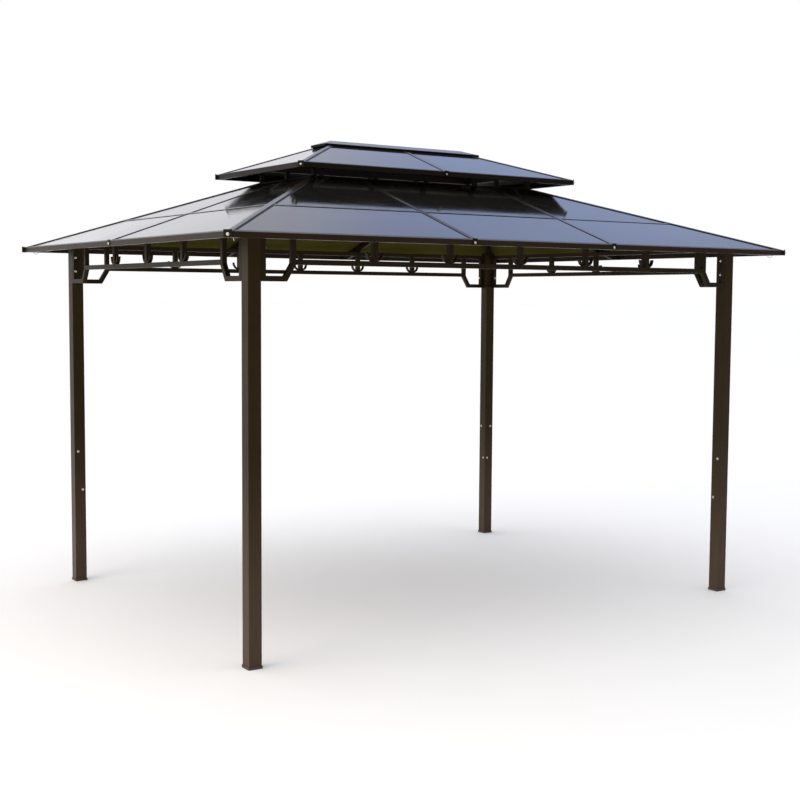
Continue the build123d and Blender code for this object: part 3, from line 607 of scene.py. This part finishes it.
# ---------------------------------------------------------------------- camera
YAW, PITCH, ROLL = 0.5886, 0.0784, 0.0062
fwd = Vector((math.sin(YAW) * math.cos(PITCH), math.cos(YAW) * math.cos(PITCH), -math.sin(PITCH)))
right = Vector((math.cos(YAW), -math.sin(YAW), 0.0))
up = right.cross(fwd)
r2 = math.cos(ROLL) * right + math.sin(ROLL) * up
u2 = -math.sin(ROLL) * right + math.cos(ROLL) * up
cam_data = bpy.data.cameras.new("camera")
cam = bpy.data.objects.new("camera", cam_data)
scene.collection.objects.link(cam)
cam.matrix_world = Matrix((
    (r2.x, u2.x, -fwd.x, -4.8249),
    (r2.y, u2.y, -fwd.y, -7.2767),
    (r2.z, u2.z, -fwd.z, 1.9256),
    (0, 0, 0, 1),
))
cam_data.sensor_width = 36.0
cam_data.lens = 1323.35 / 800.0 * 36.0
cam_data.clip_end = 2000.0
scene.camera = cam

# ----------------------------------------------------------------------- stage
bm = bmesh.new()
bmesh.ops.create_circle(bm, cap_ends=True, segments=96, radius=300.0)
floor_mesh = bpy.data.meshes.new("studio_floor")
bm.to_mesh(floor_mesh)
bm.free()
floor = bpy.data.objects.new("studio_floor", floor_mesh)
scene.collection.objects.link(floor)
M_FLOOR, nt = new_material("studio_floor")
out = node(nt, "ShaderNodeOutputMaterial")
bsdf = node(nt, "ShaderNodeBsdfPrincipled")
bsdf.inputs["Roughness"].default_value = 0.9
bsdf.inputs["Emission Color"].default_value = (1.0, 1.0, 1.0, 1)
bsdf.inputs["Emission Strength"].default_value = 0.10
bsdf.inputs["Specular IOR Level"].default_value = 0.1
tc = node(nt, "ShaderNodeTexCoord")
noise = node(nt, "ShaderNodeTexNoise", Scale=3.0, Detail=4.0)
nt.links.new(tc.outputs["Object"], noise.inputs["Vector"])
tone = ramp(nt, [(0.3, (0.93, 0.93, 0.93)), (0.7, (0.95, 0.95, 0.95))])
nt.links.new(noise.outputs["Fac"], tone.inputs["Fac"])
nt.links.new(tone.outputs["Color"], bsdf.inputs["Base Color"])
nt.links.new(bsdf.outputs[0], out.inputs[0])
floor.data.materials.append(M_FLOOR)

# ----------------------------------------------------------------------- light
world = bpy.data.worlds.new("studio")
world.use_nodes = True
scene.world = world
nt = world.node_tree
for n in list(nt.nodes):
    nt.nodes.remove(n)
link = nt.links.new
wout = node(nt, "ShaderNodeOutputWorld")
bg = node(nt, "ShaderNodeBackground")
tc = node(nt, "ShaderNodeTexCoord")
sep = node(nt, "ShaderNodeSeparateXYZ")
link(tc.outputs["Generated"], sep.inputs[0])
# by height: z is the sine of the elevation
sky = ramp(nt, [
    (0.00, (0.62, 0.60, 0.56)),
    (0.06, (0.86, 0.85, 0.82)),
    (0.13, (1.48, 1.47, 1.45)),
    (0.21, (1.06, 1.05, 1.10)),
    (0.34, (1.00, 0.99, 1.05)),
    (1.00, (1.30, 1.30, 1.30)),
])
link(sep.outputs["Z"], sky.inputs["Fac"])
# a soft blue panel high up beyond the object gives the sheets their colour
blue = ramp(nt, [
    (0.00, (1.00, 1.00, 1.00)),
    (0.20, (0.98, 0.99, 1.00)),
    (0.30, (0.80, 0.85, 0.99)),
    (0.40, (0.57, 0.71, 1.04)),
    (0.58, (0.53, 0.61, 0.92)),
    (0.75, (0.62, 0.66, 0.76)),
    (1.00, (1.00, 1.00, 1.00)),
])
link(sep.outputs["Z"], blue.inputs["Fac"])
ahead = node(nt, "ShaderNodeVectorMath", operation="DOT_PRODUCT")
ahead.inputs[1].default_value = (0.60, 0.80, 0.0)
link(tc.outputs["Generated"], ahead.inputs[0])
where = node(nt, "ShaderNodeMapRange")
where.inputs["From Min"].default_value = 0.10
where.inputs["From Max"].default_value = 0.75
link(ahead.outputs["Value"], where.inputs["Value"])
across = node(nt, "ShaderNodeVectorMath", operation="DOT_PRODUCT")
across.inputs[1].default_value = (0.832, -0.555, 0.0)
link(tc.outputs["Generated"], across.inputs[0])
turn = node(nt, "ShaderNodeMapRange", interpolation_type="SMOOTHSTEP")
turn.inputs["From Min"].default_value = -0.03
turn.inputs["From Max"].default_value = 0.10
turn.inputs["To Min"].default_value = 0.30
turn.inputs["To Max"].default_value = 1.0
link(across.outputs["Value"], turn.inputs["Value"])
both = node(nt, "ShaderNodeMath", operation="MULTIPLY")
link(where.outputs[0], both.inputs[0])
link(turn.outputs[0], both.inputs[1])
panel = node(nt, "ShaderNodeMix", data_type="RGBA", blend_type="MULTIPLY")
link(both.outputs[0], panel.inputs["Factor"])
link(sky.outputs["Color"], panel.inputs["A"])
link(blue.outputs["Color"], panel.inputs["B"])
# darker low down on the camera's side, so that the near faces read dark
aim = node(nt, "ShaderNodeVectorMath", operation="DOT_PRODUCT")
aim.inputs[1].default_value = (-0.55, 0.83, 0.0)
link(tc.outputs["Generated"], aim.inputs[0])
fall = node(nt, "ShaderNodeMapRange")
fall.inputs["From Min"].default_value = -0.6
fall.inputs["From Max"].default_value = 0.1
fall.inputs["To Min"].default_value = 0.08
fall.inputs["To Max"].default_value = 1.0
link(aim.outputs["Value"], fall.inputs["Value"])
high = node(nt, "ShaderNodeMapRange")
high.inputs["From Min"].default_value = 0.35
high.inputs["From Max"].default_value = 0.80
link(sep.outputs["Z"], high.inputs["Value"])
lift = node(nt, "ShaderNodeMath", operation="MAXIMUM")
link(fall.outputs[0], lift.inputs[0])
link(high.outputs[0], lift.inputs[1])
mul = node(nt, "ShaderNodeMix", data_type="RGBA", blend_type="MULTIPLY")
mul.inputs["Factor"].default_value = 1.0
link(panel.outputs["Result"], mul.inputs["A"])
link(lift.outputs[0], mul.inputs["B"])
link(mul.outputs["Result"], bg.inputs["Color"])
bg.inputs["Strength"].default_value = 1.0
# what is seen straight past the object is a plain white backdrop
plain = node(nt, "ShaderNodeBackground")
plain.inputs["Color"].default_value = (1.0, 1.0, 1.0, 1)
path = node(nt, "ShaderNodeLightPath")
pick = node(nt, "ShaderNodeMixShader")
link(path.outputs["Is Camera Ray"], pick.inputs[0])
link(bg.outputs[0], pick.inputs[1])
link(plain.outputs[0], pick.inputs[2])
link(pick.outputs[0], wout.inputs[0])


def area(name, place, aim_at, size, power, colour):
    data = bpy.data.lights.new(name, "AREA")
    data.shape = "RECTANGLE"
    data.size, data.size_y = size
    data.energy = power
    data.color = colour
    o = bpy.data.objects.new(name, data)
    scene.collection.objects.link(o)
    o.location = place
    o.rotation_euler = (Vector(aim_at) - Vector(place)).to_track_quat("-Z", "Y").to_euler()
    return o


area("key_left", (-9.0, -1.0, 5.5), (0, 0, 1.4), (6, 4), 230, (1.0, 0.82, 0.54))

scene.view_settings.view_transform = "Standard"
scene.view_settings.look = "None"
scene.view_settings.exposure = 0.0
scene.view_settings.gamma = 1.0
